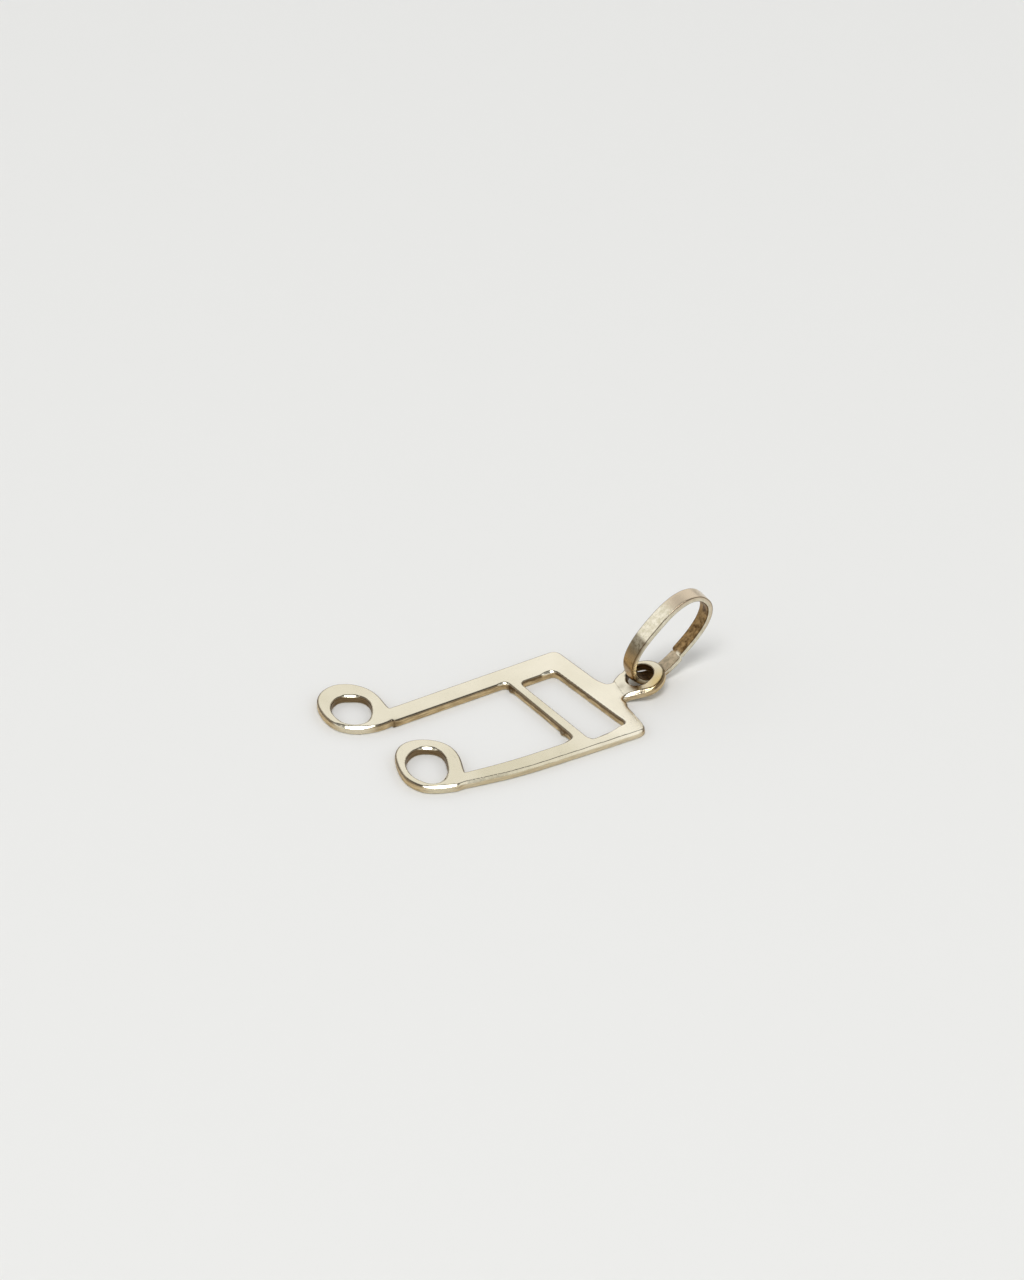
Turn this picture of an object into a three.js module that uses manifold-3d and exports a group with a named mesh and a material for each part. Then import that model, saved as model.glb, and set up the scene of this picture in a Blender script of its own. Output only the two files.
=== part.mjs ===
// Music note charm: a flat gold note plate whose eyelet is bent up, with an oval bail of flattened wire through it.
// Units are millimetres. The plate lies with its back on z = 0, +Y runs up the stems to the eyelet and +X is the
// right of the notes seen from the front. The origin is on the back face, in the middle of the top beam, under the neck.
import * as THREE from 'three';
import { mergeVertices } from 'three/addons/utils/BufferGeometryUtils.js';
import Module from 'manifold-3d';

const wasm = await Module();
wasm.setup();

const { degToRad, lerp } = THREE.MathUtils;

// Sheet
const plateThickness = 0.5;
const edgeRound = 0.1; // radius of the rubbed edges, front and back
const roundSteps = 3;
const rimSteps = 40; // straight runs round the rim of a note head

// Beams and stems
const topBeamHeight = 1.33; // at the neck
const windowHeight = 2.38; // at the neck
const secondBeamHeight = 0.64; // at the neck
const stemGap = 6.4; // clear width between the stems, under the second beam
const windowShift = 0.42; // the window sits this far to the right of the gap below it
const leftStemWidth = 1.25;
const rightStemWidth = 1.28;
const rightStemFootWidth = 0.9;
const neckToLeftSide = 5.05;
const leftStemLength = 11.25; // from the beam's corner to the step above its head
const rightStemLength = 11.86; // from the beam's corner into its head
const rightStemLean = 1.02; // how far the foot of the right stem comes in
const rightStemBow = 0.1; // how far its sides bow out half way down
const topSlopeLeft = degToRad(9.3);
const topSlopeRight = degToRad(0.3);
const windowTopSlope = degToRad(9.2);
const windowFootSlope = degToRad(7.2);
const secondBeamSlope = degToRad(6.5);
const leftCornerRadius = 0.5;
const rightCornerRadius = 0.75;
const cutCornerRadius = 0.35; // corners of the window and of the gap

// Note heads, measured from the foot of the head's stem: the rim runs through points, and the hole is four quarter
// ellipses round one centre.
const leftHead = {
  rim: [
    [-1.5, 0.45], [-2.3, 0.46], [-3.05, 0.38], [-3.75, 0.09], [-4.36, -0.45], [-4.7, -1.25], [-4.56, -2.05],
    [-4.1, -2.64], [-3.4, -2.98], [-2.5, -3.1], [-1.65, -3], [-1, -2.63], [-0.5, -2.05], [-0.2, -1.25],
    [-0.1, -0.5], [-0.25, 0.2], [-0.8, 0.46],
  ],
  holePlace: [-2.18, -1.34],
  hole: { left: 1.36, right: 1.32, down: 1.24, up: 1.07, tilt: -0.7 },
};
const rightHead = {
  rim: [
    [-1.26, 1.17], [-1.81, 1.37], [-2.46, 1.5], [-3.1, 1.48], [-3.72, 1.25], [-4.24, 0.82], [-4.62, 0.22],
    [-4.76, -0.45], [-4.6, -1.05], [-4.1, -1.58], [-3.4, -1.88], [-2.6, -2.08], [-1.9, -2.12], [-1.2, -1.92],
    [-0.7, -1.6], [-0.32, -1.05], [-0.05, -0.4], [0.1, 0.25], [-0.2, 0.75],
  ],
  holePlace: [-2.37, -0.35],
  hole: { left: 1.5, right: 1.65, down: 1.28, up: 1.03, tilt: -18.2 },
};

// Bail
const bailWidth = 1.1; // where the wire is hammered broadest, half way up the side that faces the notes
const bailNarrowWidth = 0.88; // across from there
const bailSet = 0.16; // that side's left edge stands this far left of the broad side's
const bailThickness = 0.34;
const bailLength = 6.2; // outside
const bailBreadth = 3.66; // outside
const bailFullness = 2.3; // 2 makes the oval an ellipse, and more makes its sides flatter
const bailEdgeRound = 0.1;
const bailSeamGap = 0.03;
const bailSeamStep = 0.13; // sideways step between the two ends of the wire
const bailSeamTurn = degToRad(82); // from the end of the oval that is in the eyelet
const bailLean = degToRad(42); // of its long axis above the table
const bailSlide = 1.85; // from the middle of the oval, along its long axis, to the rim that carries it
const bailSeat = 0.07; // gap between the bail and the corner of that rim
const bailShift = -0.06; // of the foot of the bail from the middle of the hole

// Neck, and the eyelet tab that is bent up past the crease
const neckWidth = 1.5;
const neckShift = -0.09;
const neckFillet = 0.65;
const neckFlare = 0.12; // how much further its left side flares
const neckLength = 0.42; // from the beam to the crease
const tabLength = 1.6; // from the crease to the middle of the eyelet
const eyeletWall = 0.54;
const eyeletPlay = 0.25; // added to half of the bail's section, corner to corner, for the radius of the hole
const holeShift = -0.2; // the hole is drilled this far off the middle of the eyelet
const tabBend = degToRad(15.5);
const creaseSkew = degToRad(-8); // of the crease, seen from the front
const bendSteps = 3;
const bendPitch = 0.12; // distance between the steps of the bend

// Worked out from the above
const bailFootWidth = (bailWidth + bailNarrowWidth) / 2;
const eyeletHoleRadius = Math.hypot(bailFootWidth, bailThickness) / 2 + eyeletPlay;
const eyeletRadius = eyeletHoleRadius + eyeletWall;
const beamTop = topBeamHeight / 2;
const windowTop = -topBeamHeight / 2;
const windowFoot = windowTop - windowHeight;
const gapTop = windowFoot - secondBeamHeight;
const leftOuter = -neckToLeftSide;
const leftInner = leftOuter + leftStemWidth;
const rightInner = leftInner + stemGap;
const rightOuter = rightInner + rightStemWidth;
const leftCornerY = beamTop + leftOuter * Math.tan(topSlopeLeft);
const rightCornerY = beamTop + rightOuter * Math.tan(topSlopeRight);
const leftFootY = leftCornerY - leftStemLength;
const rightFootY = rightCornerY - rightStemLength;
const rightFootOuter = rightOuter - rightStemLean;
const rightFootInner = rightFootOuter - rightStemFootWidth;
const creaseY = beamTop + neckLength;
const eyeletY = creaseY + tabLength;

// The point at x on a line that crosses x = 0 at height y and climbs to the right by slope
const onLine = (x, y, slope) => [x, y + x * Math.tan(slope)];

// An outline through corners [x, y, reach], each softened by a curve that starts its reach away from the corner
function softPath(corners) {
  const path = new THREE.Shape();
  corners.forEach(([x, y, reach = 0], i) => {
    const at = new THREE.Vector2(x, y);
    const before = new THREE.Vector2(...corners.at(i - 1)).sub(at);
    const after = new THREE.Vector2(...corners[(i + 1) % corners.length]).sub(at);
    const room = Math.min(reach, 0.45 * before.length(), 0.45 * after.length());
    const from = before.setLength(room).add(at);
    const to = after.setLength(room).add(at);
    if (i === 0) path.moveTo(from.x, from.y);
    else path.lineTo(from.x, from.y);
    if (room > 0) path.quadraticCurveTo(x, y, to.x, to.y);
  });
  return path;
}

// An egg: four quarter ellipses that share a centre and a tilt
function egg([x, y], { left, right, down, up, tilt }) {
  const path = new THREE.Shape();
  const quarters = [[right, up], [left, up], [left, down], [right, down]];
  quarters.forEach(([across, along], i) => {
    path.absellipse(x, y, across, along, i * Math.PI / 2, (i + 1) * Math.PI / 2, false, degToRad(tilt));
  });
  return path;
}

const circle = (x, y, radius) => new THREE.Shape().absarc(x, y, radius, 0, 2 * Math.PI);

// The outline as one run of points, without the doubled points where two of its curves meet
function plainOutline(outline, divisions) {
  const points = outline.getPoints(divisions);
  return new THREE.Shape(points.filter((point, i) => point.distanceTo(points.at(i - 1)) > 1e-4));
}

// A closed mesh as a solid that can be joined and cut
function solidOf(geometry) {
  geometry.deleteAttribute('normal');
  geometry.deleteAttribute('uv');
  const merged = mergeVertices(geometry, 1e-5);
  return new wasm.Manifold(new wasm.Mesh({
    numProp: 3,
    vertProperties: merged.attributes.position.array,
    triVerts: merged.index.array,
  }));
}

function geometryOf(solid) {
  const { vertProperties, triVerts } = solid.getMesh();
  const geometry = new THREE.BufferGeometry();
  geometry.setAttribute('position', new THREE.BufferAttribute(vertProperties, 3));
  geometry.setIndex(new THREE.BufferAttribute(triVerts, 1));
  return geometry;
}

// Sheet of the given outline, its edges rounded front and back, with its back on z = 0
function sheet(outline, divisions) {
  const geometry = new THREE.ExtrudeGeometry(plainOutline(outline, divisions), {
    depth: plateThickness - 2 * edgeRound,
    bevelThickness: edgeRound,
    bevelSize: edgeRound,
    bevelOffset: -edgeRound,
    bevelSegments: roundSteps,
  });
  geometry.translate(0, 0, edgeRound);
  return solidOf(geometry);
}

// What is cut from the sheet to leave a hole with rounded edges: it flares to both faces and stops just past them
function holeCutter(outline, divisions) {
  const past = 0.02;
  const geometry = new THREE.ExtrudeGeometry(plainOutline(outline, divisions), {
    depth: plateThickness - 2 * edgeRound,
    bevelThickness: edgeRound + past,
    bevelSize: -edgeRound,
    bevelOffset: edgeRound,
    bevelSegments: roundSteps,
  });
  geometry.translate(0, 0, edgeRound);
  return solidOf(geometry);
}

// Beams and stems in one outline, open between the stems
function frameOutline() {
  const bowY = (rightFootY + gapTop) / 2;
  const bowInner = (rightFootInner + rightInner) / 2 + 2 * rightStemBow;
  const bowOuter = (rightFootOuter + rightOuter) / 2 + 2 * rightStemBow;
  const bowReach = rightStemLength / 4;
  return softPath([
    [leftOuter, leftFootY],
    [leftInner, leftFootY],
    [...onLine(leftInner, gapTop, secondBeamSlope), cutCornerRadius],
    [...onLine(rightInner, gapTop, secondBeamSlope), cutCornerRadius],
    [bowInner, bowY, bowReach],
    [rightFootInner, rightFootY],
    [rightFootOuter, rightFootY],
    [bowOuter, bowY, bowReach],
    [rightOuter, rightCornerY, rightCornerRadius],
    [0, beamTop],
    [leftOuter, leftCornerY, leftCornerRadius],
  ]);
}

function windowOutline() {
  const left = leftInner + windowShift;
  const right = rightInner + windowShift;
  return softPath([
    [...onLine(left, windowFoot, windowFootSlope), cutCornerRadius],
    [...onLine(right, windowFoot, windowFootSlope), cutCornerRadius],
    [...onLine(right, windowTop, windowTopSlope), cutCornerRadius],
    [...onLine(left, windowTop, windowTopSlope), cutCornerRadius],
  ]);
}

// The neck as it lies before the bend: it rises out of the beam in two fillets and flares to the sides of the eyelet
function neckOutline() {
  const left = neckShift - neckWidth / 2;
  const right = neckShift + neckWidth / 2;
  const leftRoot = left - 1.5 * neckFillet;
  const rightRoot = right + 1.5 * neckFillet;
  const sunk = 0.05; // the fillets start this far inside the beam
  const flareX = 0.9 * eyeletRadius;
  const flareY = eyeletY - 0.4 * eyeletRadius;
  return softPath([
    [leftRoot, 0],
    [rightRoot, 0],
    [rightRoot, beamTop - sunk],
    [right, beamTop - sunk, neckFillet],
    [right, creaseY, neckLength / 2],
    [flareX, flareY],
    [-flareX - neckFlare, flareY, neckFillet],
    [left, creaseY, neckLength / 2],
    [...onLine(left, beamTop - sunk, topSlopeLeft), neckFillet],
    onLine(leftRoot, beamTop - sunk, topSlopeLeft),
  ]);
}

// The bend, as small turns about lines across the back face, from the far line to the near one
const bendTurns = Array.from({ length: bendSteps }, (_, i) => {
  const place = new THREE.Vector3(0, creaseY + bendPitch * ((bendSteps - 1) / 2 - i), 0);
  const across = new THREE.Vector3(Math.cos(creaseSkew), Math.sin(creaseSkew), 0);
  const turn = new THREE.Matrix4().makeTranslation(place)
    .multiply(new THREE.Matrix4().makeRotationAxis(across, tabBend / bendSteps))
    .multiply(new THREE.Matrix4().makeTranslation(place.clone().negate()));
  return { place, across, turn };
});

function bendTab(flat) {
  return bendTurns.reduce((solid, { place, across, turn }) => {
    const along = new THREE.Vector3(-across.y, across.x, 0);
    const [far, near] = solid.splitByPlane(along.toArray(), along.dot(place));
    return near.add(far.transform(turn.elements));
  }, flat);
}

// Where a point of the flat eyelet comes to lie after the bend
const bentPoint = (x, y, z) => bendTurns.reduce((point, { turn }) => point.applyMatrix4(turn), new THREE.Vector3(x, y, z));

// A ring-shaped note head: its solid, and what is cut for its hole
function head({ rim, holePlace, hole }, [footX, footY]) {
  const points = rim.map(([x, y]) => new THREE.Vector3(footX + x, footY + y, 0));
  const outline = new THREE.Shape(new THREE.CatmullRomCurve3(points, true).getPoints(rimSteps));
  const holeMiddle = [footX + holePlace[0], footY + holePlace[1]];
  return { ring: sheet(outline, 1), cutter: holeCutter(egg(holeMiddle, hole), 6) };
}

function notePlate() {
  const leftNote = head(leftHead, [leftInner, leftFootY]);
  const rightNote = head(rightHead, [rightFootOuter, rightFootY]);
  const flat = sheet(frameOutline(), 6)
    .add(sheet(neckOutline(), 6))
    .add(sheet(circle(0, eyeletY, eyeletRadius), 24))
    .add(leftNote.ring)
    .add(rightNote.ring)
    .subtract(leftNote.cutter)
    .subtract(rightNote.cutter)
    .subtract(holeCutter(windowOutline(), 4))
    .subtract(holeCutter(circle(holeShift, eyeletY, eyeletHoleRadius), 20));
  return geometryOf(bendTab(flat));
}

// The bail's centre line: once round an upright oval, from one end of the wire to the other. A turn of 0 is its foot.
class Oval extends THREE.Curve {
  getPoint(t) {
    const long = (bailLength - bailThickness) / 2;
    const short = (bailBreadth - bailThickness) / 2;
    const seam = bailSeamGap / short;
    const turn = bailSeamTurn + seam / 2 + t * (2 * Math.PI - seam);
    const across = Math.sign(Math.sin(turn)) * Math.abs(Math.sin(turn)) ** (2 / bailFullness);
    const along = -Math.sign(Math.cos(turn)) * Math.abs(Math.cos(turn)) ** (2 / bailFullness);
    return new THREE.Vector3(4 * bailSeamStep * (t - 0.5) ** 3, short * across, long * along);
  }
}

// The bail leans over the far rim of the eyelet. Its centre is set so that the rim's lower outer corner clears its
// inside by the seat, with the rim where bailSlide puts it along the oval.
function bailPlace() {
  const rimY = eyeletY + eyeletHoleRadius + eyeletWall / 2;
  const rim = bentPoint(holeShift, rimY, plateThickness / 2);
  const corner = bentPoint(holeShift, eyeletY + eyeletRadius, 0);
  const along = new THREE.Vector3(0, Math.cos(bailLean), Math.sin(bailLean));
  const down = new THREE.Vector3(0, Math.sin(bailLean), -Math.cos(bailLean));
  const reach = corner.clone().sub(rim);
  const cornerAlong = -bailSlide + reach.dot(along);
  const share = Math.abs(cornerAlong) / (bailLength / 2 - bailThickness);
  const inside = (bailBreadth / 2 - bailThickness) * (1 - share ** bailFullness) ** (1 / bailFullness);
  const drop = inside - reach.dot(down) - bailSeat;
  const centre = rim.addScaledVector(along, bailSlide).addScaledVector(down, -drop);
  return centre.setX(holeShift + bailShift + (bailWidth - bailFootWidth) / 2);
}

function bailRing() {
  const wide = bailWidth / 2;
  const thick = bailThickness / 2;
  const section = softPath([
    [-wide, -thick, bailEdgeRound],
    [wide, -thick, bailEdgeRound],
    [wide, thick, bailEdgeRound],
    [-wide, thick, bailEdgeRound],
  ]);
  const geometry = new THREE.ExtrudeGeometry(plainOutline(section, 3), { extrudePath: new Oval(), steps: 90 });
  const { position } = geometry.attributes;
  for (let i = 0; i < position.count; i += 1) {
    const turn = Math.atan2(position.getY(i), -position.getZ(i));
    const share = (1 + Math.sin(turn)) / 2;
    const width = lerp(bailWidth, bailNarrowWidth, share);
    position.setX(i, (position.getX(i) + wide) * width / bailWidth - wide - bailSet * share);
  }
  geometry.rotateX(bailLean - Math.PI / 2);
  return geometry;
}

const gold = { color: '#e3d6b4', metalness: 1 };
const charm = new THREE.Group();
charm.name = 'music_note_charm';

const plate = new THREE.Mesh(notePlate(), new THREE.MeshStandardMaterial({ ...gold, roughness: 0.25 }));
plate.name = 'note_plate';
charm.add(plate);

const bail = new THREE.Mesh(bailRing(), new THREE.MeshStandardMaterial({ ...gold, roughness: 0.3 }));
bail.name = 'bail_ring';
bail.position.copy(bailPlace());
charm.add(bail);

export default charm;
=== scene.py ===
# Music note charm: the worn gold plate and its bail of flattened wire, on a white studio floor.
import math

import bmesh
import bpy
import numpy as np
from mathutils import Matrix, Vector, kdtree, noise


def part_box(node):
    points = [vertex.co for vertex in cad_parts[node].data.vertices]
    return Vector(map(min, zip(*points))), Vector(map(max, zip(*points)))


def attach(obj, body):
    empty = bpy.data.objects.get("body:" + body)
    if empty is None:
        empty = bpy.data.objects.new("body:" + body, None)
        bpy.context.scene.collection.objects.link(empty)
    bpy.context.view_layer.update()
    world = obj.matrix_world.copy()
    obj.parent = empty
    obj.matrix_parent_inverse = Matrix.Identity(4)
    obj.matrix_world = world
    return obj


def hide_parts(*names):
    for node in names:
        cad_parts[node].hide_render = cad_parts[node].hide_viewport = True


bl_info = {
    "name": "Music note charm",
    "version": (1, 0, 0),
    "blender": (4, 5, 0),
    "location": "View3D > Sidebar > Charm",
    "description": "Builds a gold music note charm with its bail on a studio floor",
    "category": "Object",
}

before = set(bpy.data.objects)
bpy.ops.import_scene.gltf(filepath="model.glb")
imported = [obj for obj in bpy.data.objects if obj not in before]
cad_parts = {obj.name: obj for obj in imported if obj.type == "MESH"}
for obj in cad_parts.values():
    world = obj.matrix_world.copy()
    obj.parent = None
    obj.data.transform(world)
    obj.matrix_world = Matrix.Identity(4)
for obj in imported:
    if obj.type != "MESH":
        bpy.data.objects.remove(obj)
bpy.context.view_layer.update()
MM = 0.001
PLATE_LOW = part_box("note_plate")[0]
BAIL_LOW, BAIL_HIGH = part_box("bail_ring")

# Where the photograph was taken from, in millimetres
CAMERA_AT = (213.6836, -129.32937, 192.58081)
CAMERA_AIM = (-7.64077, -1.54768, 0.0)
CAMERA_LENS = 196.875
SENSOR = 36.0

# Level direction away from the camera, and the direction from the charm to the softbox
AWAY = Vector((CAMERA_AIM[0] - CAMERA_AT[0], CAMERA_AIM[1] - CAMERA_AT[1], 0.0)).normalized()
SOFTBOX_TOWARDS = Vector((0.262, -0.19, 0.946))
# How bright the studio's walls are on the camera's side and elsewhere
WALLS_NEAR = 0.35
WALLS_FAR = 0.98
# The share of that which the ceiling has, and the share at the foot of the walls
CEILING_SHARE = 0.22
WALL_FOOT_SHARE = 0.4
# Steps of the paper's raised rim, and sides of its round outline
RIM_STEPS = 12
PAPER_SIDES = 96

# Sheet of the plate in millimetres, and its crease and bent tab, as the frame has them
SHEET = 0.5
CREASE_Y = 1.085
CREASE_SKEW = math.radians(-8)
TAB_BEND = math.radians(15.5)
# Points of the solid nearer than this, in metres, are joined
SAME_POINT = 1e-7
# How far apart along x, y and z the noises of one seed and the next lie
SEED_STEPS = (17.3, 5.1, 9.7)

# How far a point faces upward where it is all wall, and where it is none: for the saw, and for the looks
SAWN_FACING = (0.3, 0.8)
WALL_FACING = (0.2, 0.6)
# Less wall than this counts as none
NO_WALL = 0.01
# How far the saw wavered off the outline, slowly and quickly, in millimetres
SLOW_WAVER = 0.014
QUICK_WAVER = 0.006
# Places where the saw left the drawn outline: x, y, reach, and the shift along x and y
SAW_DRIFT = (
    (0.9, 0.65, 0.4, 0.24, 0.15),
    (-0.8, 0.5, 0.45, 0.0, 0.18),
    (2.85, -0.5, 0.6, -0.25, 0.0),
    (2.45, -3.6, 0.35, -0.16, -0.06),
    (-5.3, -11.95, 0.8, -0.06, -0.13),
    (-7.15, -12.35, 0.55, 0.15, -0.09),
    (0.9, -10.8, 0.6, -0.05, -0.08),
    (-0.8, -10.9, 0.5, 0.09, -0.05),
)
# Burrs that the saw left at the back edge, and a nick: x, y, reach, how far each stands out
SAW_SLIPS = (
    (-3.35, -4.1, 0.16, 0.12),
    (1.45, -3.5, 0.22, 0.12),
    (-3.68, -11.4, 0.14, -0.38),
)
# Height, of 1, where a burr is gone and where it is full
BURR_HEIGHT = (0.7, 0.3)

# Width of the front edge's slope where it is sharp, where wear begins to show and where it is full
EDGE_SHARP = 0.03
EDGE_SHOWS = 0.06
EDGE_FULL = 0.14
# Steepness of the slope in degrees, the share by which its width wavers, and how far from a wall it ends
EDGE_STEEPNESS = 35.0
EDGE_RAGGED = 0.15
EDGE_REACH = 0.6
# The slope takes metal above this height, of 1, where it doesn't face further down than this
CUT_HEIGHT = 0.3
CUT_FACING = -0.3
# Middle of a wall: how far from half the height, and how far it may face up or down
MIDDLE_HEIGHT = 0.2
MIDDLE_FACING = 0.25
# Where the front edge is worn: x, y, reach, the slope's width and steepness, how rubbed the wall is
WORN_PLACES = (
    (-4.75, -13.35, 1.15, 0.22, 35, 0.75),
    (2.45, -11.9, 1.0, 0.22, 35, 0.75),
    (-7.15, -12.35, 0.5, 0.18, 35, 0.0),
    (-0.8, -10.9, 0.55, 0.2, 35, 0.0),
    (-3.35, -1.65, 0.42, 0.2, 35, 0.0),
    (-3.85, -4.33, 0.4, 0.15, 35, 0.0),
    (0.95, 1.7, 0.85, 0.26, 28, 0.2),
    (0.12, 1.92, 0.66, 0.21, 44, 0.0),
)
# The right stem's outer edge, worn along its length: x at the origin, x per y, and the same last three
WORN_STEM = (3.71, 0.0855, 0.2, 54, 0.45)
# Where that wear begins and ends along y, and how far off the edge it fades: first none of it, then all
STEM_BEGINS = (-11.4, -10.4)
STEM_ENDS = (0.5, 0.0)
STEM_FADES = (0.6, 0.4)

# How strong the brown line at the edges is: a painted dark reflection
EDGE_DARK_REFLECTION = 0.85
# Facings where that line is 0 and 1 at either end, thin on a worn edge and broad on a sharp one
THIN_LINE = ((0.84, 0.9), (0.995, 0.96))
BROAD_LINE = ((0.1, 0.35), (0.98, 0.9))
# Height, of 1, above which a wall gets that painted dark line; how much lower that is by the beams, its
# raggedness and fade
BROW = 0.8
BROW_LOWER = 0.22
BROW_RAGGED = 0.1
BROW_FADE = 0.1
# No wall gets that painted line below this height, and the beams begin between these two y
BROW_LEAST = 0.4
BEAMS_BEGIN = (-5, -4)
# How bright the face is at places, partly a cleaner polish and partly painted lighter and darker
# reflections: x, y and its share
POLISH_AND_REFLECTIONS = (
    (-7.2, -13.9, 0.3), (-7.7, -12.1, 0.3), (-5.1, -11.5, 0.5), (-4.3, -8.8, 0.55),
    (-4.4, -6.2, 0.55), (-4.2, -1.4, 0.8), (-2.0, -0.2, 0.75), (0.0, 0.2, 0.95),
    (3.1, 0.1, 0.95), (-0.8, -3.5, 0.3), (3.6, -2.7, 0.5), (3.2, -5.4, 0.1),
    (2.6, -8.9, 0.0), (-0.7, -12.5, 0.5), (-1.4, -11.0, 0.45), (1.4, -10.5, 0.3),
    (2.5, -10.7, 0.3), (0.3, 2.0, 0.7), (0.9, 3.3, 0.3),
)
# Square millimetres over which those places blend
POLISH_AND_REFLECTIONS_BLEND = 0.3
# Brown spots: x, y, reach and its share. The first is the bail's reflection in the crease, painted on; the
# others darken the tab by its hole and crease, and the nick.
STAINS_AND_REFLECTION = (
    (0.4, 1.85, 0.4, 0.9), (0.05, 2.7, 0.6, 0.3), (-0.15, 1.25, 0.25, 0.3), (-3.68, -11.4, 0.26, 1.0),
)
# The bail's yellow reflection painted on the tab: x, y, reach and its share
BAIL_REFLECTIONS_ON_TAB = ((1.15, 3.0, 0.95, 1.0), (-0.6, 2.6, 0.6, 0.5))
# Walls that are brown: x, y, radius and share
BROWN_WALLS = (
    (-6.14, -12.85, 1.3, 0.75), (0.0, -11.4, 1.4, 0.75), (-0.1, 2.5, 1.0, 0.75),
    (-3.35, -4.1, 0.3, 0.6), (1.45, -3.5, 0.4, 0.5),
)
# How far outside that radius the brown is gone, and how far inside it is full
BROWN_GONE = 0.15
BROWN_FULL = 0.05

# Sections along the bail's wire, points on each rounded corner, and points across each face
BAIL_STEPS = 640
CORNER_POINTS = 10
FACE_POINTS = 8
# The gap of the bail's seam, and how far its two ends stand apart across the wire, in millimetres
SEAM_WIDTH = 0.03
SEAM_STEP = 0.13
# How much slimmer the two ends are, and over how many sections
SEAM_PINCH = 0.12
PINCH_STEPS = 1.5
# Radius of the wire's right and left edges, and how far left of the broad side the narrow one stands
BAIL_EDGE = 0.06
BAIL_BACK_EDGE = 0.14
BAIL_SET = 0.16
# How uneven the wire's faces are
BAIL_WAVER = 0.008
# Solder at the seam: how far it stands out and how far it reaches
SOLDER = 0.09
SOLDER_REACH = 0.12
# The foot's bulge towards the notes: how far it stands out, and its place around the oval in radians
FOOT_BULGE = 0.15
FOOT_TURN = -0.1
# How far from that place, and how high, the bulge is gone, and then where it is full
FOOT_SPAN = (0.6, 0.15)
FOOT_HEIGHT = (1.4, 0.7)
# Share of the way outward through the wire: where its outside, its inside and its flat faces are 0 and 1
OUTSIDE = (-0.2, 0.4)
INSIDE = (-0.6, -0.85)
ON_FACE = (0.3, 0.9)
# Share of the way across the wire where the solder is 0 and 1
SOLDERED = (-0.1, 0.4)
# The painted dark reflection at the wire's corners: how strong it is, and the shares outward between which
# it runs
CORNER_DARK_REFLECTION = 0.8
CORNERS = ((0.62, 0.75), (0.995, 0.93))
# How tarnished the inside is where it is cleaner, and between which distances along the oval that is
CLEANER_INSIDE = 0.65
CLEANER_SPAN = (-1.7, -0.55)
# Distances along the oval, from its middle, where it is dark beside the plate, brown and rosy
DUSK_SPAN = ((-2.5, -1.5), (-0.75, -1.0))
BROWN_FROM = (-1.2, -1.8)
ROSY_FROM = (1.0, 1.8)

# Roughness of a scratch, of a wall halfway up and near its top, and of the bail's inside
SCRATCH_ROUGH = 0.4
WALL_ROUGH = 0.5
WALL_TOP_ROUGH = 0.3
INSIDE_ROUGH = 0.4


def linear(hex_colour):
    """An sRGB hex colour as linear RGBA."""
    out = []
    for i in (1, 3, 5):
        c = int(hex_colour[i:i + 2], 16) / 255
        out.append(c / 12.92 if c <= 0.04045 else ((c + 0.055) / 1.055) ** 2.4)
    return (*out, 1.0)


def add(tree, kind, inputs=None, **settings):
    """A new node with its settings; each input takes a value or the socket that feeds it."""
    node = tree.nodes.new(kind)
    for name, value in settings.items():
        setattr(node, name, value)
    for name, value in (inputs or {}).items():
        if isinstance(value, bpy.types.NodeSocket):
            tree.links.new(value, node.inputs[name])
        else:
            node.inputs[name].default_value = value
    return node


def kept(tree, name):
    """The number that keep_value kept under this name."""
    return add(tree, "ShaderNodeAttribute", attribute_name=name).outputs["Fac"]


def soft_noise(tree, place, scale, detail, **more):
    """Noise from 0 to 1 at a place, with scale in waves per unit of it."""
    inputs = {"Vector": place, "Scale": scale, "Detail": detail, **more}
    return add(tree, "ShaderNodeTexNoise", inputs).outputs["Fac"]


def stretched(tree, place, scale, turn=0.0):
    """A place scaled along its axes, and then turned about Z."""
    inputs = {"Vector": place, "Rotation": (0.0, 0.0, turn), "Scale": scale}
    return add(tree, "ShaderNodeMapping", inputs).outputs["Vector"]


def map_range(tree, value, low=0.0, high=1.0, to_low=0.0, to_high=1.0, **settings):
    """A value from low to high, turned to one from to_low to to_high and held there."""
    inputs = {0: value, 1: low, 2: high, 3: to_low, 4: to_high}
    return add(tree, "ShaderNodeMapRange", inputs, **settings).outputs[0]


def combine(tree, operation, first, second, **settings):
    """Two numbers combined."""
    return add(tree, "ShaderNodeMath", {0: first, 1: second}, operation=operation, **settings).outputs[0]


def mix_numbers(tree, share, first, second):
    """The first number where the share is 0, and the second where it is 1."""
    return add(tree, "ShaderNodeMix", {0: share, 2: first, 3: second}).outputs[0]


def mix_colours(tree, share, first, second):
    """The first colour where the share is 0, and the second where it is 1."""
    return add(tree, "ShaderNodeMix", {0: share, 6: first, 7: second}, data_type="RGBA").outputs[2]


def emboss(tree, shader, height, strength, distance):
    """Shades the surface as if raised by a height."""
    bump = add(tree, "ShaderNodeBump", {"Height": height, "Strength": strength, "Distance": distance})
    tree.links.new(bump.outputs["Normal"], shader.inputs["Normal"])


def new_material(name):
    """A material with its node tree and its shader."""
    material = bpy.data.materials.new(name)
    material.use_nodes = True
    tree = material.node_tree
    return material, tree, tree.nodes["Principled BSDF"]


def smooth_step(low, high, value):
    """From 0 at low to 1 at high with soft ends, where low may also be the larger of the two."""
    t = np.clip((value - low) / (high - low), 0.0, 1.0)
    return t * t * (3 - 2 * t)


def band(value, rises, falls):
    """1 between two soft ends, each given by where it is 0 and where it is 1."""
    return smooth_step(*rises, value) * smooth_step(*falls, value)


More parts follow.
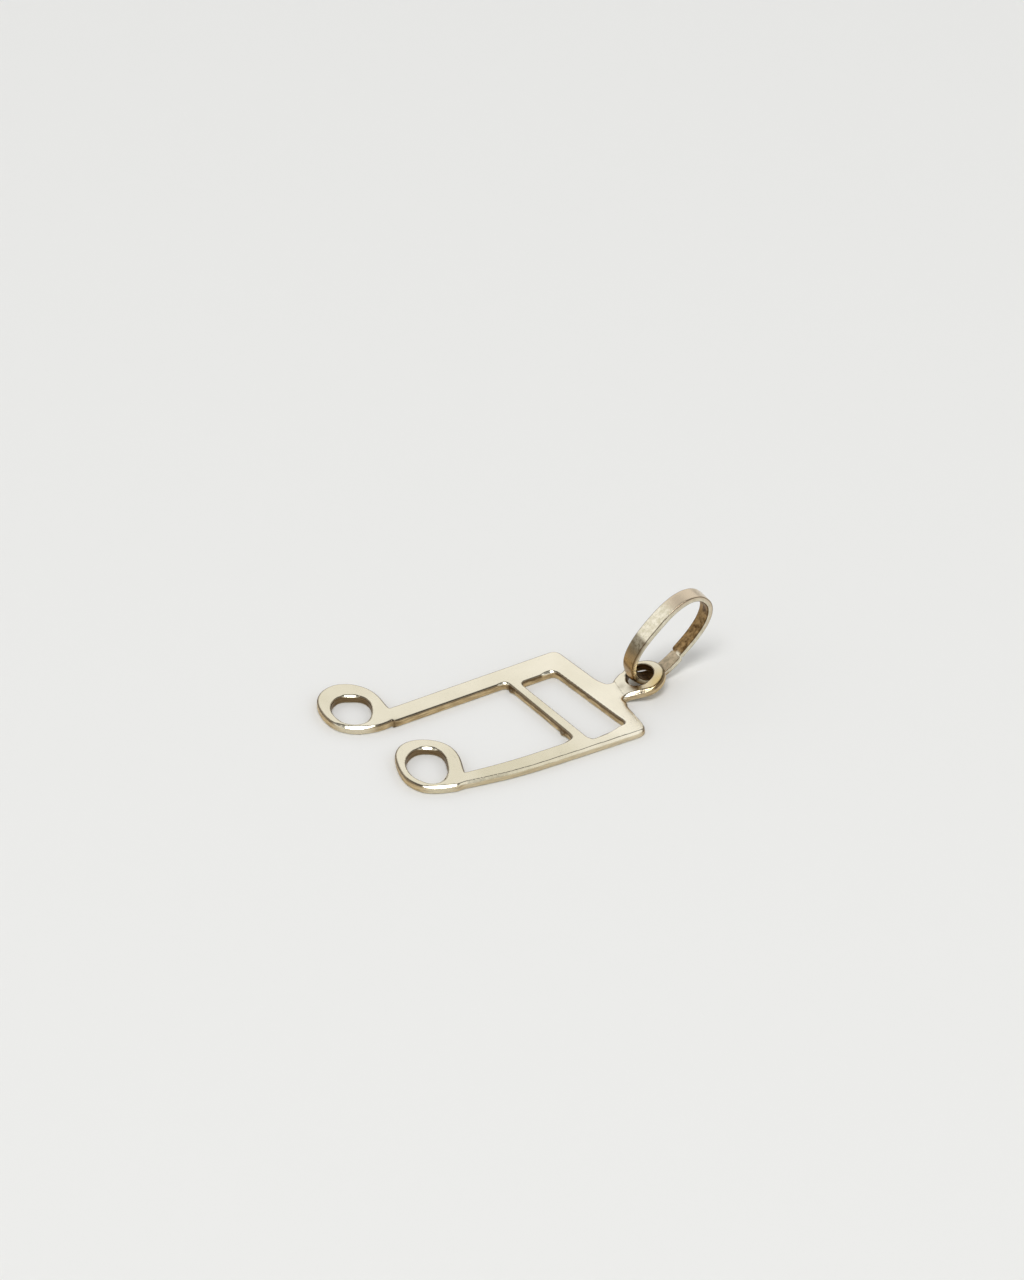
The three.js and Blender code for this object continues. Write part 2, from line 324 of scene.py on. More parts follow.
def mesh_arrays(mesh):
    """The points and their normals, in millimetres."""
    points = np.empty(len(mesh.vertices) * 3, np.float32)
    mesh.vertices.foreach_get("co", points)
    normals = np.empty(len(mesh.vertices) * 3, np.float32)
    mesh.vertex_normals.foreach_get("vector", normals)
    return points.reshape(-1, 3).astype(float) / MM, normals.reshape(-1, 3).astype(float)


def set_points(mesh, points):
    """Moves the mesh's points to these, in millimetres."""
    mesh.vertices.foreach_set("co", (points * MM).astype(np.float32).ravel())
    mesh.update()


def keep_value(mesh, name, values):
    """Keeps one number per point for the material to read."""
    made = mesh.attributes.new(name, "FLOAT", "POINT")
    made.data.foreach_set("value", values.astype(np.float32))


def waves(points, scales, seed):
    """Smooth noise from -1 to 1 at points; scales are waves per millimetre along x, y and z."""
    offset = Vector([seed * step for step in SEED_STEPS])
    sx, sy, sz = scales
    return np.array([noise.noise(Vector((x * sx, y * sy, z * sz)) + offset) for x, y, z in points])


def nearness(points, x, y, reach, power=2):
    """1 at x and y, falling to 0 beyond the reach; a higher power falls more steeply."""
    return np.exp(-(np.hypot(points[:, 0] - x, points[:, 1] - y) / reach) ** power)


def spots(points, places):
    """The strongest of some soft round spots, each given by x, y, reach and share."""
    return np.max([share * nearness(points, x, y, reach) for x, y, reach, share in places], axis=0)


def gold_sheet(finish):
    """Pale polished gold under a dull film, with reflections painted on the faces, brown edge lines that are
    a painted dark reflection, the bail's reflection painted on the tab and by the crease, brown stains, and
    duller, streaked walls.
    """
    material, tree, shader = new_material("gold_sheet_polished")
    place = add(tree, "ShaderNodeTexCoord").outputs["Object"]
    wall = kept(tree, "wall")
    # Broad soft patches, 2 mm across
    patches = soft_noise(tree, place, scale=500.0, detail=4.0)
    patchy = map_range(tree, patches, 0.3, 0.7, -0.15, 0.15)
    # Brighter where more polished and where a lighter reflection is painted
    clean = combine(tree, "ADD", kept(tree, "polish"), patchy, use_clamp=True)
    face = mix_colours(tree, clean, linear(finish.gold_dull), linear(finish.gold_bright))
    # The bail's yellow reflection, painted on the tab
    reflected_on_tab = mix_colours(tree, kept(tree, "film"), face, linear(finish.bail_reflection_yellow))
    # Saw streaks, 0.08 mm apart and drawn out along the wall
    level = stretched(tree, place, (1500.0, 1500.0, 12000.0))
    streaks = soft_noise(tree, level, scale=1.0, detail=3.0)
    streaky = map_range(tree, streaks, 0.35, 0.65)
    sawn = mix_colours(tree, streaky, linear(finish.wall_dark), linear(finish.wall_light))
    metal = mix_colours(tree, wall, reflected_on_tab, sawn)
    # The brown edge lines: a dark reflection painted where the face turns over the edge
    lined = mix_colours(tree, kept(tree, "edge"), metal, linear(finish.dark_edge_reflection))
    # Brown spots and brown walls, with the bail's reflection painted by the crease in the same brown
    stained_and_reflected = mix_colours(tree, kept(tree, "stain_and_reflection"), lined, linear(finish.tarnish_and_reflection_dark))
    tree.links.new(stained_and_reflected, shader.inputs["Base Color"])
    shader.inputs["Metallic"].default_value = 1.0
    # Wiping scratches, slightly curved: two sets, each from its own part of the noise
    hairs = []
    for turn, reach in ((0.5, 1500.0), (-0.9, 2100.0)):
        drawn_out = stretched(tree, place, (reach, 24000.0, reach), turn)
        hairs.append(map_range(tree, soft_noise(tree, drawn_out, 1.0, 1.0, Distortion=0.6), 0.71, 0.85))
    scratch = combine(tree, "MAXIMUM", *hairs)
    face_rough = map_range(tree, scratch, to_low=finish.face_roughness, to_high=SCRATCH_ROUGH)
    wall_rough = map_range(tree, kept(tree, "height"), 0.5, 0.9, WALL_ROUGH, WALL_TOP_ROUGH)
    tree.links.new(mix_numbers(tree, wall, face_rough, wall_rough), shader.inputs["Roughness"])
    emboss(tree, shader, mix_numbers(tree, wall, scratch, streaks), strength=0.14, distance=0.00002)
    return material


def gold_wire(finish):
    """The same gold, rosier at the bail's far end, dark beside the plate and brown inside the loop, with a
    painted dark reflection at the wire's corners.
    """
    material, tree, shader = new_material("gold_wire_flattened")
    place = add(tree, "ShaderNodeTexCoord").outputs["Object"]
    inside = kept(tree, "inside")
    # Mottling, 0.3 mm across
    mottle = map_range(tree, soft_noise(tree, place, 3500.0, 5.0, Roughness=0.65), 0.38, 0.62)
    polished = mix_colours(tree, mottle, linear(finish.gold_dull), linear(finish.gold_bright))
    drawn = mix_colours(tree, kept(tree, "rosy"), polished, linear(finish.gold_rosy))
    browned = mix_colours(tree, kept(tree, "brown"), drawn, linear(finish.tarnish_light))
    # Darker and more olive beside the plate
    dusk = combine(tree, "MULTIPLY", kept(tree, "dusk"), map_range(tree, mottle, to_low=0.6))
    darkened = mix_colours(tree, dusk, browned, linear(finish.olive_beside_plate))
    tarnish = mix_colours(tree, mottle, linear(finish.tarnish_and_reflection_dark), linear(finish.tarnish_light))
    colour = mix_colours(tree, inside, darkened, tarnish)
    # Brown lines at the wire's corners, a painted dark reflection
    lined = mix_colours(tree, kept(tree, "corner"), colour, linear(finish.dark_edge_reflection))
    tree.links.new(lined, shader.inputs["Base Color"])
    shader.inputs["Metallic"].default_value = 1.0
    roughness = mix_numbers(tree, inside, finish.wire_roughness, INSIDE_ROUGH)
    tree.links.new(roughness, shader.inputs["Roughness"])
    # Drawing lines across the wire, 0.05 mm apart
    across = stretched(tree, place, (2500.0, 20000.0, 20000.0))
    grooves = soft_noise(tree, across, scale=1.0, detail=2.0)
    emboss(tree, shader, grooves, strength=0.3, distance=0.00001)
    return material


def studio_paper(stage):
    """White seamless paper: matt, with no grain that shows at this size."""
    material, _, shader = new_material("studio_paper_matt")
    shader.inputs["Base Color"].default_value = linear(stage.floor_colour)
    shader.inputs["Roughness"].default_value = 0.9
    shader.inputs["Specular IOR Level"].default_value = 0.2
    return material


class CharmFinish(bpy.types.PropertyGroup):
    gold_bright: bpy.props.StringProperty(
        name="Gold, bright", description="sRGB hex colour of the cleanest polish", default="#F7F0DC")
    gold_dull: bpy.props.StringProperty(
        name="Gold, dull", description="sRGB hex colour of the gold under a film", default="#DCD4BA")
    gold_rosy: bpy.props.StringProperty(
        name="Gold, rosy", description="sRGB hex colour of the bail's far end", default="#D8C7AE")
    # The yellow of the bail's reflection painted on the tab
    bail_reflection_yellow: bpy.props.StringProperty(
        name="Film", description="sRGB hex colour of the yellower film on the tab", default="#DCC48A")
    # The brown of the edge lines and of the wire's corner lines, a painted dark reflection
    dark_edge_reflection: bpy.props.StringProperty(
        name="Edge line", description="sRGB hex colour where the face turns over the edge",
        default="#5E4A30")
    wall_light: bpy.props.StringProperty(
        name="Wall, light", description="sRGB hex colour of the sawn walls", default="#DCC69C")
    wall_dark: bpy.props.StringProperty(
        name="Wall, dark", description="sRGB hex colour of the streaks in the walls", default="#A8906A")
    tarnish_light: bpy.props.StringProperty(
        name="Tarnish, light", description="sRGB hex colour of light tarnish", default="#A88A5E")
    # Dark brown of the tarnish, also of the bail's reflection painted by the crease
    tarnish_and_reflection_dark: bpy.props.StringProperty(
        name="Tarnish, dark", description="sRGB hex colour of dark tarnish", default="#5C4428")
    # The darker olive of the bail beside the plate
    olive_beside_plate: bpy.props.StringProperty(
        name="Tarnish, olive", description="sRGB hex colour of the bail beside the plate", default="#786C56")
    face_roughness: bpy.props.FloatProperty(
        name="Face roughness", description="Roughness of the polished faces", default=0.18, min=0.0, max=1.0)
    wire_roughness: bpy.props.FloatProperty(
        name="Wire roughness", description="Roughness of the bail's outside", default=0.22, min=0.0, max=1.0)


class CharmPlate(bpy.types.PropertyGroup):
    cell: bpy.props.FloatProperty(
        name="Mesh cell", description="Size of the faces of the worn plate's mesh",
        default=0.000045, min=0.00002, precision=5, unit="LENGTH")
    rubs: bpy.props.IntProperty(
        name="Rubs", description="How often the edges are smoothed", default=4, min=0)


class CharmBail(bpy.types.PropertyGroup):
    length: bpy.props.FloatProperty(
        name="Length", description="Outside length of the oval", default=0.0062, precision=5, unit="LENGTH")
    breadth: bpy.props.FloatProperty(
        name="Breadth", description="Outside breadth of the oval", default=0.00366,
        precision=5, unit="LENGTH")
    thickness: bpy.props.FloatProperty(
        name="Thickness", description="Thickness of the flattened wire", default=0.00034,
        precision=5, unit="LENGTH")
    broad: bpy.props.FloatProperty(
        name="Broadest", description="Width of the wire on the side that faces the notes", default=0.0011,
        precision=5, unit="LENGTH")
    narrow: bpy.props.FloatProperty(
        name="Narrowest", description="Width of the wire across from there", default=0.00088,
        precision=5, unit="LENGTH")
    fullness: bpy.props.FloatProperty(
        name="Fullness", description="2 is an ellipse, and more is nearer to a rounded oblong",
        default=2.3, min=1.5)
    lean: bpy.props.FloatProperty(
        name="Lean", description="Angle of the oval above the table",
        default=math.radians(42), subtype="ANGLE")
    seam_turn: bpy.props.FloatProperty(
        name="Seam", description="Place of the butt seam, from the foot of the oval",
        default=math.radians(82), subtype="ANGLE")


class CharmStage(bpy.types.PropertyGroup):
    floor_colour: bpy.props.StringProperty(
        name="Floor", description="sRGB hex colour of the paper", default="#EAEAE8")
    floor_size: bpy.props.FloatProperty(
        name="Floor size", description="Diameter of the paper", default=1.2, unit="LENGTH")
    sweep: bpy.props.FloatProperty(
        name="Sweep", description="Radius and height of the paper's raised rim", default=0.15, unit="LENGTH")
    softbox_height: bpy.props.FloatProperty(
        name="Softbox height", description="Distance of the softbox from the charm",
        default=0.8, unit="LENGTH")
    softbox_width: bpy.props.FloatProperty(
        name="Softbox width", description="Side of the softbox along X", default=0.28, unit="LENGTH")
    softbox_length: bpy.props.FloatProperty(
        name="Softbox length", description="Side of the softbox along Y", default=0.5, unit="LENGTH")
    softbox_power: bpy.props.FloatProperty(
        name="Softbox power", description="Power of the softbox", default=3.0, unit="POWER")


class CHARM_OT_plate(bpy.types.Operator):
    """Makes the worn, polished plate from the frame's solid"""
    bl_idname = "charm.plate"
    bl_label = "Note plate"

    def execute(self, context):
        plate = self.even_faces(context)
        worn = plate.data
        self.saw(worn)
        self.mark(worn, *self.slope(worn))
        worn.materials.clear()
        worn.materials.append(gold_sheet(context.scene.charm_finish))
        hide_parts("note_plate")
        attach(plate, "note")
        return {"FINISHED"}

    @staticmethod
    def even_faces(context):
        """A copy of the frame's plate with small even faces and slightly rubbed edges."""
        settings = context.scene.charm_plate
        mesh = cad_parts["note_plate"].data.copy()
        mesh.name = "note_plate_worn"
        mesh.materials.clear()
        shell = bmesh.new()
        shell.from_mesh(mesh)
        bmesh.ops.remove_doubles(shell, verts=shell.verts, dist=SAME_POINT)
        shell.to_mesh(mesh)
        shell.free()
        plate = bpy.data.objects.new("note_plate_worn", mesh)
        context.collection.objects.link(plate)
        remesh = plate.modifiers.new("even faces", "REMESH")
        remesh.mode = "VOXEL"
        remesh.voxel_size = settings.cell
        relax = plate.modifiers.new("relax", "SMOOTH")
        relax.factor = 0.5
        relax.iterations = settings.rubs
        depsgraph = context.evaluated_depsgraph_get()
        worn = bpy.data.meshes.new_from_object(plate.evaluated_get(depsgraph))
        plate.modifiers.clear()
        plate.data = worn
        bpy.data.meshes.remove(mesh)
        worn.name = "note_plate_worn"
        if "sharp_face" in worn.attributes:
            worn.attributes.remove(worn.attributes["sharp_face"])
        worn.shade_smooth()
        return plate

    @staticmethod
    def in_sheet(points, normals):
        """Each point's height as a share of the sheet, how far it faces up there, and which way is up."""
        along = np.array((-math.sin(CREASE_SKEW), math.cos(CREASE_SKEW), 0.0))
        tab_normal = np.array((0.0, 0.0, math.cos(TAB_BEND))) - math.sin(TAB_BEND) * along
        from_crease = points - np.array((0.0, CREASE_Y, 0.0))
        on_tab = (from_crease @ along > 0)[:, None]
        up = np.where(on_tab, tab_normal, (0.0, 0.0, 1.0))
        height = np.where(on_tab, from_crease, points)
        return (height * up).sum(1) / SHEET, (normals * up).sum(1), up

    def saw(self, mesh):
        """Moves the outline where the saw drifted, and the walls by its waver and slips."""
        points, normals = mesh_arrays(mesh)
        height, facing, _ = self.in_sheet(points, normals)
        wall = 1 - smooth_step(*SAWN_FACING, np.abs(facing))
        on_wall = np.nonzero(wall > NO_WALL)[0]
        waver = SLOW_WAVER * waves(points[on_wall], (1.3, 1.3, 0.4), seed=1)
        waver += QUICK_WAVER * waves(points[on_wall], (5, 5, 1.2), seed=2)
        push = np.zeros(len(points))
        push[on_wall] = waver * wall[on_wall]
        for x, y, reach, depth in SAW_SLIPS:
            low = smooth_step(*BURR_HEIGHT, height) if depth > 0 else 1.0
            push += depth * nearness(points, x, y, reach) * wall * low
        side = normals.copy()
        side[:, 2] = 0.0
        moved = points + side * push[:, None]
        for x, y, reach, shift_x, shift_y in SAW_DRIFT:
            near = nearness(points, x, y, reach)
            moved[:, 0] += shift_x * near
            moved[:, 1] += shift_y * near
        set_points(mesh, moved)

    @staticmethod
    def wear(points):
        """The width and steepness of the front edge's slope by each point, and how rubbed its wall is."""
        width = np.full(len(points), EDGE_SHARP)
        steepness = np.full(len(points), EDGE_STEEPNESS)
        rubbed = np.zeros(len(points))
        x_at_origin, x_per_y, *stem = WORN_STEM
        beside = smooth_step(*STEM_FADES, np.abs(points[:, 0] - x_at_origin - x_per_y * points[:, 1]))
        beside *= band(points[:, 1], STEM_BEGINS, STEM_ENDS)
        places = [(nearness(points, x, y, reach, power=4), *kind) for x, y, reach, *kind in WORN_PLACES]
        for near, wide, steep, rub in (*places, (beside, *stem)):
            width += near * (wide - width)
            steepness += near * (steep - steepness)
            rubbed += near * (rub - rubbed)
        shows = np.nonzero(width > EDGE_SHOWS)[0]
        width[shows] *= 1 + EDGE_RAGGED * waves(points[shows], (1.2, 1.2, 0.0), seed=7)
        return width, steepness, rubbed

    def slope(self, mesh):
        """Cuts the worn front edge to its slope; returns how worn and how rubbed each point is."""
        points, normals = mesh_arrays(mesh)
        height, facing, up = self.in_sheet(points, normals)
        width, steepness, rubbed = self.wear(points)
        # The walls' middles, from which the distance to the edge is measured
        wall = np.nonzero((np.abs(height - 0.5) < MIDDLE_HEIGHT) & (np.abs(facing) < MIDDLE_FACING))[0]
        nearest = kdtree.KDTree(len(wall))
        for number, index in enumerate(wall):
            nearest.insert(points[index], number)
        nearest.balance()
        for i in np.nonzero((width > EDGE_SHOWS) & (height > CUT_HEIGHT) & (facing > CUT_FACING))[0]:
            _, number, distance = nearest.find(points[i])
            if distance > EDGE_REACH:
                continue
            foot = wall[number]
            outward = normals[foot] - normals[foot].dot(up[i]) * up[i]
            outward /= np.linalg.norm(outward)
            tilt = math.radians(steepness[i])
            inward = (points[foot] - points[i]).dot(outward)
            over = math.cos(tilt) * (height[i] - 1) * SHEET - math.sin(tilt) * inward
            over += width[i] * math.sin(tilt) * math.cos(tilt)
            if over > 0:
                points[i] -= over * (math.sin(tilt) * outward + math.cos(tilt) * up[i])
        set_points(mesh, points)
        return smooth_step(EDGE_SHOWS, EDGE_FULL, width), rubbed

    def mark(self, mesh, worn, rubbed):
        """Keeps what the material needs: the walls, heights, the painted dark reflection at the edges,
        polish with painted reflections, stains with the bail's reflection painted by the crease, and the
        bail's reflection painted on the tab.
        """
        points, normals = mesh_arrays(mesh)
        height, facing, _ = self.in_sheet(points, normals)
        wall = 1 - smooth_step(*WALL_FACING, np.abs(facing))
        keep_value(mesh, "wall", wall * (1 - rubbed))
        keep_value(mesh, "height", height)
        # The brown edge lines, a painted dark reflection
        keep_value(mesh, "edge", EDGE_DARK_REFLECTION * self.painted_edge_reflection(points, height, facing, wall, worn))
        # Polish together with painted lighter and darker reflections
        keep_value(mesh, "polish", self.polish(points))
        # Brown spots, the first the bail's reflection painted by the crease, and then the brown walls
        stain_and_reflection = spots(points, STAINS_AND_REFLECTION)
        for x, y, radius, share in BROWN_WALLS:
            from_place = np.hypot(points[:, 0] - x, points[:, 1] - y)
            within = smooth_step(radius + BROWN_GONE, radius - BROWN_FULL, from_place)
            stain_and_reflection = np.maximum(stain_and_reflection, share * within * wall)
        keep_value(mesh, "stain_and_reflection", stain_and_reflection)
        # The bail's yellow reflection painted on the tab
        keep_value(mesh, "film", spots(points, BAIL_REFLECTIONS_ON_TAB))

    @staticmethod
    def painted_edge_reflection(points, height, facing, wall, worn):
        """Where the painted dark reflection goes: where a face turns over the edge, and on the walls under
        sharp edges.
        """
        thin = band(facing, *THIN_LINE)
        broad = band(facing, *BROAD_LINE)
        brow = np.zeros(len(points))
        upper = np.nonzero((height > BROW_LEAST) & (wall > 0) & (worn < 1))[0]
        start = BROW - BROW_LOWER * smooth_step(*BEAMS_BEGIN, points[upper, 1])
        start += BROW_RAGGED * waves(points[upper], (3.5, 3.5, 1.0), seed=9)
        brow[upper] = smooth_step(start, start + BROW_FADE, height[upper]) * (1 - worn[upper])
        return np.maximum(np.maximum(thin, broad * (1 - worn)), brow)

    @staticmethod
    def polish(points):
        """How bright the face is at each point, partly polish and partly painted reflections, blended from
        the given places.
        """
        weights = np.zeros(len(points))
        polish = np.zeros(len(points))
        for x, y, share in POLISH_AND_REFLECTIONS:
            weight = 1 / (POLISH_AND_REFLECTIONS_BLEND + (points[:, 0] - x) ** 2 + (points[:, 1] - y) ** 2) ** 2
            weights += weight
            polish += share * weight
        return polish / weights


class CHARM_OT_bail(bpy.types.Operator):
    """Makes the bail: flattened wire bent to an oval, with its butt seam"""
    bl_idname = "charm.bail"
    bl_label = "Bail"

    def execute(self, context):
        settings = context.scene.charm_bail
        thick = settings.thickness / 2 / MM
        wide = settings.broad / MM / 2
        centre, out, pinch = self.centre_line(settings, thick)
        across, outward = self.section(wide, thick)
        sides = len(across)
        # Place around the oval from its foot, and how far over from the broad side to the narrow one
        angle = np.arctan2(centre[:, 1], -centre[:, 2])
        far = (1 + np.sin(angle)) / 2
        points = self.sweep(settings, centre, out, pinch, far, across, outward)

        # The faces waver, and solder stands out on the inside of the seam
        normals = np.repeat(np.insert(out, 0, 0.0, axis=1), sides, axis=0)
        on_face = np.sign(outward) * smooth_step(*ON_FACE, np.abs(outward) / thick)
        normals *= np.tile(on_face, BAIL_STEPS)[:, None]
        points += normals * (BAIL_WAVER * waves(points, (0.9, 1.6, 1.6), seed=5))[:, None]
        from_seam = np.linalg.norm(points - points[:sides].mean(0), axis=1)
        outer = np.tile(outward > 0, BAIL_STEPS)
        points += normals * (SOLDER * np.exp(-(from_seam / SOLDER_REACH) ** 2) * ~outer)[:, None]

        # The oval is laid over at its lean, in the middle of the frame's bail
        turn_over = np.array(Matrix.Rotation(settings.lean - math.pi / 2, 3, "X"))
        points = points @ turn_over.T
        shift = (np.array(BAIL_LOW) + np.array(BAIL_HIGH)) / 2 / MM - (points.min(0) + points.max(0)) / 2
        points += shift
        foot = np.repeat(smooth_step(*FOOT_SPAN, np.abs(angle - FOOT_TURN)), sides) * outer
        foot *= smooth_step(*FOOT_HEIGHT, points[:, 2]) * np.tile(1 - (across / wide) ** 2, BAIL_STEPS)
        points[:, 1] -= FOOT_BULGE * foot

        mesh = bpy.data.meshes.new("bail_wire")
        mesh.from_pydata((points * MM).tolist(), [], self.faces(sides))
        mesh.update()
        mesh.shade_smooth()
        self.mark(mesh, centre, across / wide, outward / thick)
        bail = bpy.data.objects.new("bail_wire", mesh)
        context.collection.objects.link(bail)
        mesh.materials.append(gold_wire(context.scene.charm_finish))
        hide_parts("bail_ring")
        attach(bail, "bail")
        return {"FINISHED"}

    @staticmethod
    def centre_line(settings, thick):
        """The wire's centre line from seam to seam, its outward directions, and how slim its ends are."""
        long = settings.length / 2 / MM - thick
        short = settings.breadth / 2 / MM - thick
        power = 2 / settings.fullness
        seam = SEAM_WIDTH / short
        share = np.linspace(0, 1, BAIL_STEPS)
        turn = settings.seam_turn + seam / 2 + share * (2 * math.pi - seam)
        sine = np.sign(np.sin(turn)) * np.abs(np.sin(turn)) ** power
        cosine = np.sign(np.cos(turn)) * np.abs(np.cos(turn)) ** power
        centre = np.stack([4 * SEAM_STEP * (share - 0.5) ** 3, short * sine, -long * cosine], 1)
        tangent = np.gradient(centre[:, 1:], axis=0)
        tangent /= np.linalg.norm(tangent, axis=1)[:, None]
        out = np.stack([tangent[:, 1], -tangent[:, 0]], 1)
        out *= np.sign((out * centre[:, 1:]).sum(1))[:, None]
        from_end = np.minimum(share, 1 - share) * BAIL_STEPS
        return centre, out, 1 - SEAM_PINCH * np.exp(-(from_end / PINCH_STEPS) ** 2)

    @staticmethod
    def section(wide, thick):
        """Flat strip with rounded sides: how far across and how far outward its points stand."""
        across = []
        outward = []
        for side, face, start in ((1, 1, 0), (-1, 1, 90), (-1, -1, 180), (1, -1, 270)):
            edge = BAIL_EDGE if side > 0 else BAIL_BACK_EDGE
            for step in range(CORNER_POINTS):
                angle = math.radians(start + 90 * step / (CORNER_POINTS - 1))
                across.append(side * (wide - edge) + edge * math.cos(angle))
                outward.append(face * (thick - edge) + edge * math.sin(angle))
            if start in (0, 180):
                middle = np.linspace(wide - BAIL_EDGE, BAIL_BACK_EDGE - wide, FACE_POINTS)[1:-1]
                across.extend(middle if face > 0 else middle[::-1])
                outward.extend([outward[-1]] * len(middle))
        return np.array(across), np.array(outward)

    @staticmethod
    def sweep(settings, centre, out, pinch, far, across, outward):
        """The section swept along the centre line, narrower and set to the left towards the far side."""
        broad = settings.broad / MM
        narrow = settings.narrow / MM
        wide = broad / 2
        width = broad + (narrow - broad) * far
        points = np.empty((len(centre), len(across), 3))
        points[:, :, 0] = centre[:, :1] + across[None, :] * pinch[:, None]
        points[:, :, 0] = (points[:, :, 0] + wide) * width[:, None] / broad - wide - BAIL_SET * far[:, None]
        reach = outward[None, :, None] * pinch[:, None, None]
        points[:, :, 1:] = centre[:, None, 1:] + reach * out[:, None, :]
        return points.reshape(-1, 3)

    @staticmethod
    def faces(sides):
        """The faces between the sections, closed at the seam."""
        faces = []
        for i in range(BAIL_STEPS):
            n = (i + 1) % BAIL_STEPS
            for j in range(sides):
                k = (j + 1) % sides
                faces.append((i * sides + j, i * sides + k, n * sides + k, n * sides + j))
        return faces

    @staticmethod
    def mark(mesh, centre, across, outward):
        """Keeps where the wire is tarnished inside, where it is darker and olive beside the plate, brown
        towards the foot and rosy at the far end, and the painted dark reflection at its corners.
        """
        rings = len(centre)
        sides = len(outward)
        along = np.repeat(centre[:, 2], sides)
        lower = np.repeat(centre[:, 1] > 0, sides)
        outside = np.tile(smooth_step(*OUTSIDE, outward), rings)
        inside = np.tile(smooth_step(*INSIDE, outward), rings)
        # The inside is cleaner on the lower side near the foot, and clean on the solder
        cleaner = lower & (along > CLEANER_SPAN[0]) & (along < CLEANER_SPAN[1])
        from_seam = np.linalg.norm(centre - centre[0], axis=1)
        solder = np.outer(np.exp(-(from_seam / SOLDER_REACH) ** 2), smooth_step(*SOLDERED, across)).ravel()
        keep_value(mesh, "inside", inside * np.where(cleaner, CLEANER_INSIDE, 1.0) * (1 - solder))
        # The corner lines, a painted dark reflection
        keep_value(mesh, "corner", CORNER_DARK_REFLECTION * np.tile(band(np.abs(outward), *CORNERS), rings))
        keep_value(mesh, "dusk", outside * ~lower * band(along, *DUSK_SPAN))
        keep_value(mesh, "brown", outside * smooth_step(*BROWN_FROM, along))
        keep_value(mesh, "rosy", outside * smooth_step(*ROSY_FROM, along))


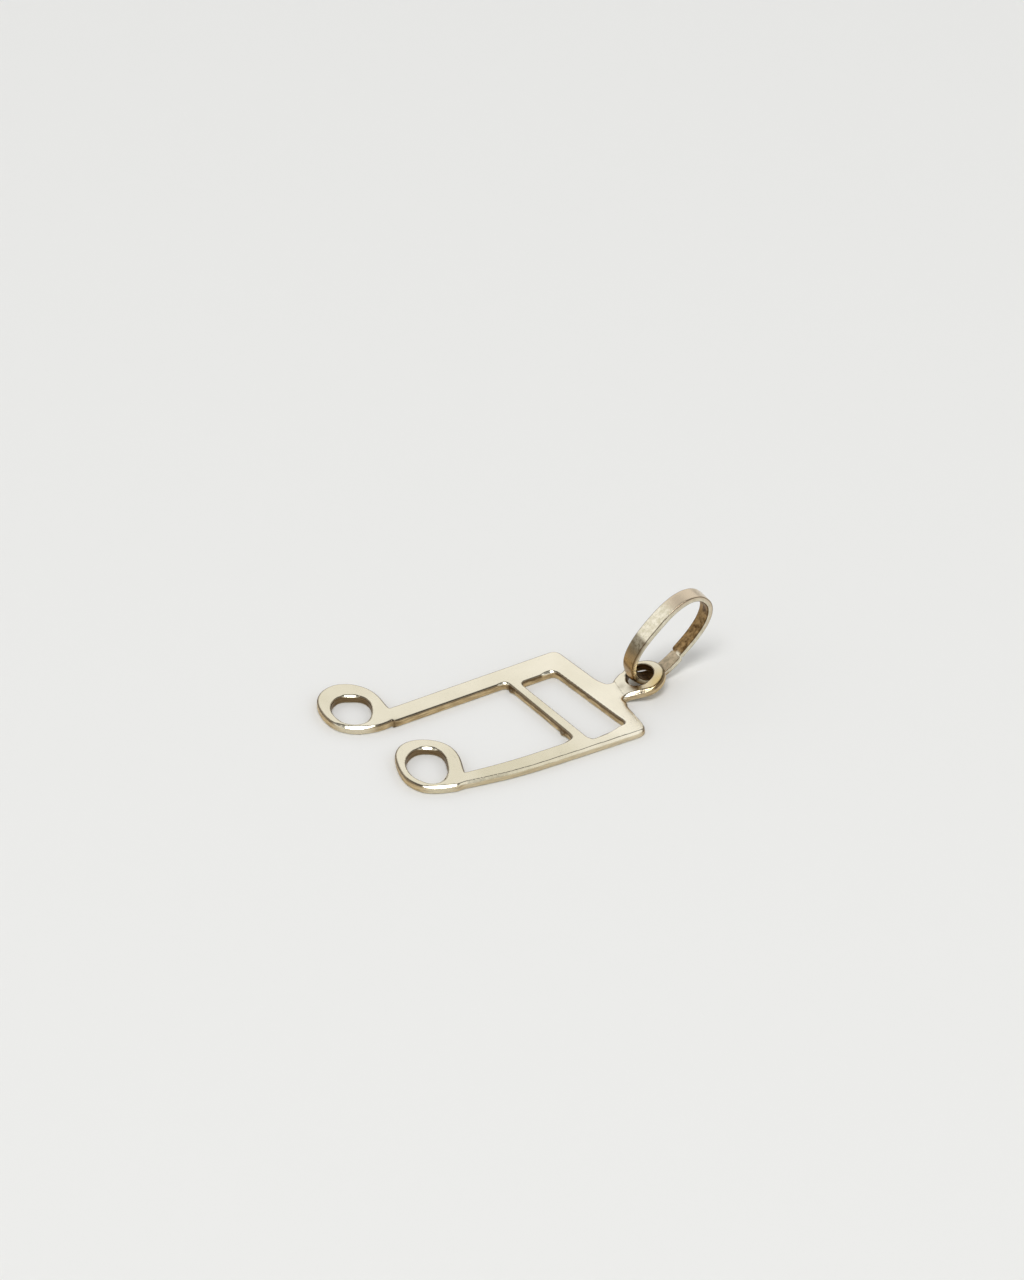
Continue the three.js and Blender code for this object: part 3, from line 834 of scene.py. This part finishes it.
class CHARM_OT_stage(bpy.types.Operator):
    """Lays the paper sweep, hangs the softbox and sets the camera"""
    bl_idname = "charm.stage"
    bl_label = "Studio stage"

    def execute(self, context):
        settings = context.scene.charm_stage
        self.paper(context, settings)
        self.softbox(context, settings)
        self.studio(context)
        self.camera(context)
        context.scene.view_settings.view_transform = "Standard"
        return {"FINISHED"}

    @staticmethod
    def paper(context, settings):
        """A round sheet whose rim sweeps up, so that it is the background from every side."""
        flat = settings.floor_size / 2 - settings.sweep
        profile = [(flat * share, 0.0) for share in (0.1, 0.3, 0.6, 1.0)]
        for step in range(1, RIM_STEPS + 1):
            angle = math.radians(90 * step / RIM_STEPS)
            profile.append((flat + settings.sweep * math.sin(angle), settings.sweep * (1 - math.cos(angle))))
        points = [(0.0, 0.0, 0.0)]
        for radius, height in profile:
            for i in range(PAPER_SIDES):
                angle = 2 * math.pi * i / PAPER_SIDES
                points.append((radius * math.cos(angle), radius * math.sin(angle), height))
        faces = [(0, 1 + i, 1 + (i + 1) % PAPER_SIDES) for i in range(PAPER_SIDES)]
        for ring in range(len(profile) - 1):
            low = 1 + ring * PAPER_SIDES
            high = low + PAPER_SIDES
            for i in range(PAPER_SIDES):
                n = (i + 1) % PAPER_SIDES
                faces.append((low + i, high + i, high + n, low + n))
        mesh = bpy.data.meshes.new("paper_floor")
        mesh.from_pydata(points, [], faces)
        mesh.update()
        mesh.shade_smooth()
        floor = bpy.data.objects.new("paper_floor", mesh)
        floor.location.z = min(PLATE_LOW.z, BAIL_LOW.z)
        context.collection.objects.link(floor)
        mesh.materials.append(studio_paper(settings))

    @staticmethod
    def softbox(context, settings):
        """The lamp, which faces the charm; seen from above, two of its sides lie along X."""
        lamp = bpy.data.lights.new("softbox", "AREA")
        lamp.shape = "RECTANGLE"
        lamp.size = settings.softbox_width
        lamp.size_y = settings.softbox_length
        lamp.energy = settings.softbox_power
        softbox = bpy.data.objects.new("softbox", lamp)
        softbox.location = SOFTBOX_TOWARDS * settings.softbox_height
        across = Vector((0.0, 1.0, 0.0)).cross(SOFTBOX_TOWARDS).normalized()
        turned = Matrix((across, SOFTBOX_TOWARDS.cross(across), SOFTBOX_TOWARDS)).transposed()
        softbox.rotation_euler = turned.to_euler()
        context.collection.objects.link(softbox)

    @staticmethod
    def studio(context):
        """The room that the gold mirrors: its walls, a darker ceiling and the darker foot of the walls."""
        world = bpy.data.worlds.new("studio")
        world.use_nodes = True
        context.scene.world = world
        tree = world.node_tree
        background = tree.nodes["Background"]
        direction = add(tree, "ShaderNodeTexCoord").outputs["Generated"]
        up = add(tree, "ShaderNodeSeparateXYZ", {0: direction}).outputs["Z"]
        away = add(tree, "ShaderNodeVectorMath", {0: direction, 1: AWAY}, operation="DOT_PRODUCT")
        soft = {"interpolation_type": "SMOOTHSTEP"}
        walls = map_range(tree, away.outputs["Value"], -0.88, -0.55, WALLS_NEAR, WALLS_FAR, **soft)
        ceiling = map_range(tree, up, 0.72, 0.8, 1.0, CEILING_SHARE, **soft)
        wall_foot = map_range(tree, up, 0.18, 0.3, WALL_FOOT_SHARE, 1.0, **soft)
        level = combine(tree, "MULTIPLY", combine(tree, "MULTIPLY", walls, ceiling), wall_foot)
        tree.links.new(level, background.inputs["Strength"])
        background.inputs["Color"].default_value = (1.0, 1.0, 1.0, 1.0)

    @staticmethod
    def camera(context):
        """The photograph's camera."""
        lens = bpy.data.cameras.new("camera")
        lens.lens = CAMERA_LENS
        lens.sensor_width = SENSOR
        lens.sensor_fit = "HORIZONTAL"
        lens.clip_start = 0.01
        lens.clip_end = 10.0
        camera = bpy.data.objects.new("camera", lens)
        camera.location = Vector(CAMERA_AT) * MM
        aim = Vector(CAMERA_AIM) - Vector(CAMERA_AT)
        camera.rotation_euler = aim.to_track_quat("-Z", "Y").to_euler()
        context.collection.objects.link(camera)
        context.scene.camera = camera


class CHARM_PT_panel(bpy.types.Panel):
    """The charm's pieces and its stage"""
    bl_idname = "CHARM_PT_panel"
    bl_label = "Music note charm"
    bl_space_type = "VIEW_3D"
    bl_region_type = "UI"
    bl_category = "Charm"

    def draw(self, context):
        for operator in (CHARM_OT_plate, CHARM_OT_bail, CHARM_OT_stage):
            self.layout.operator(operator.bl_idname)


CLASSES = (
    CharmFinish, CharmPlate, CharmBail, CharmStage,
    CHARM_OT_plate, CHARM_OT_bail, CHARM_OT_stage, CHARM_PT_panel,
)
GROUPS = {
    "charm_finish": CharmFinish, "charm_plate": CharmPlate,
    "charm_bail": CharmBail, "charm_stage": CharmStage,
}


def register():
    for cls in CLASSES:
        bpy.utils.register_class(cls)
    for name, group in GROUPS.items():
        setattr(bpy.types.Scene, name, bpy.props.PointerProperty(type=group))


def unregister():
    for name in GROUPS:
        delattr(bpy.types.Scene, name)
    for cls in reversed(CLASSES):
        bpy.utils.unregister_class(cls)


def main():
    register()
    bpy.ops.charm.plate()
    bpy.ops.charm.bail()
    bpy.ops.charm.stage()


if __name__ == "__main__":
    main()
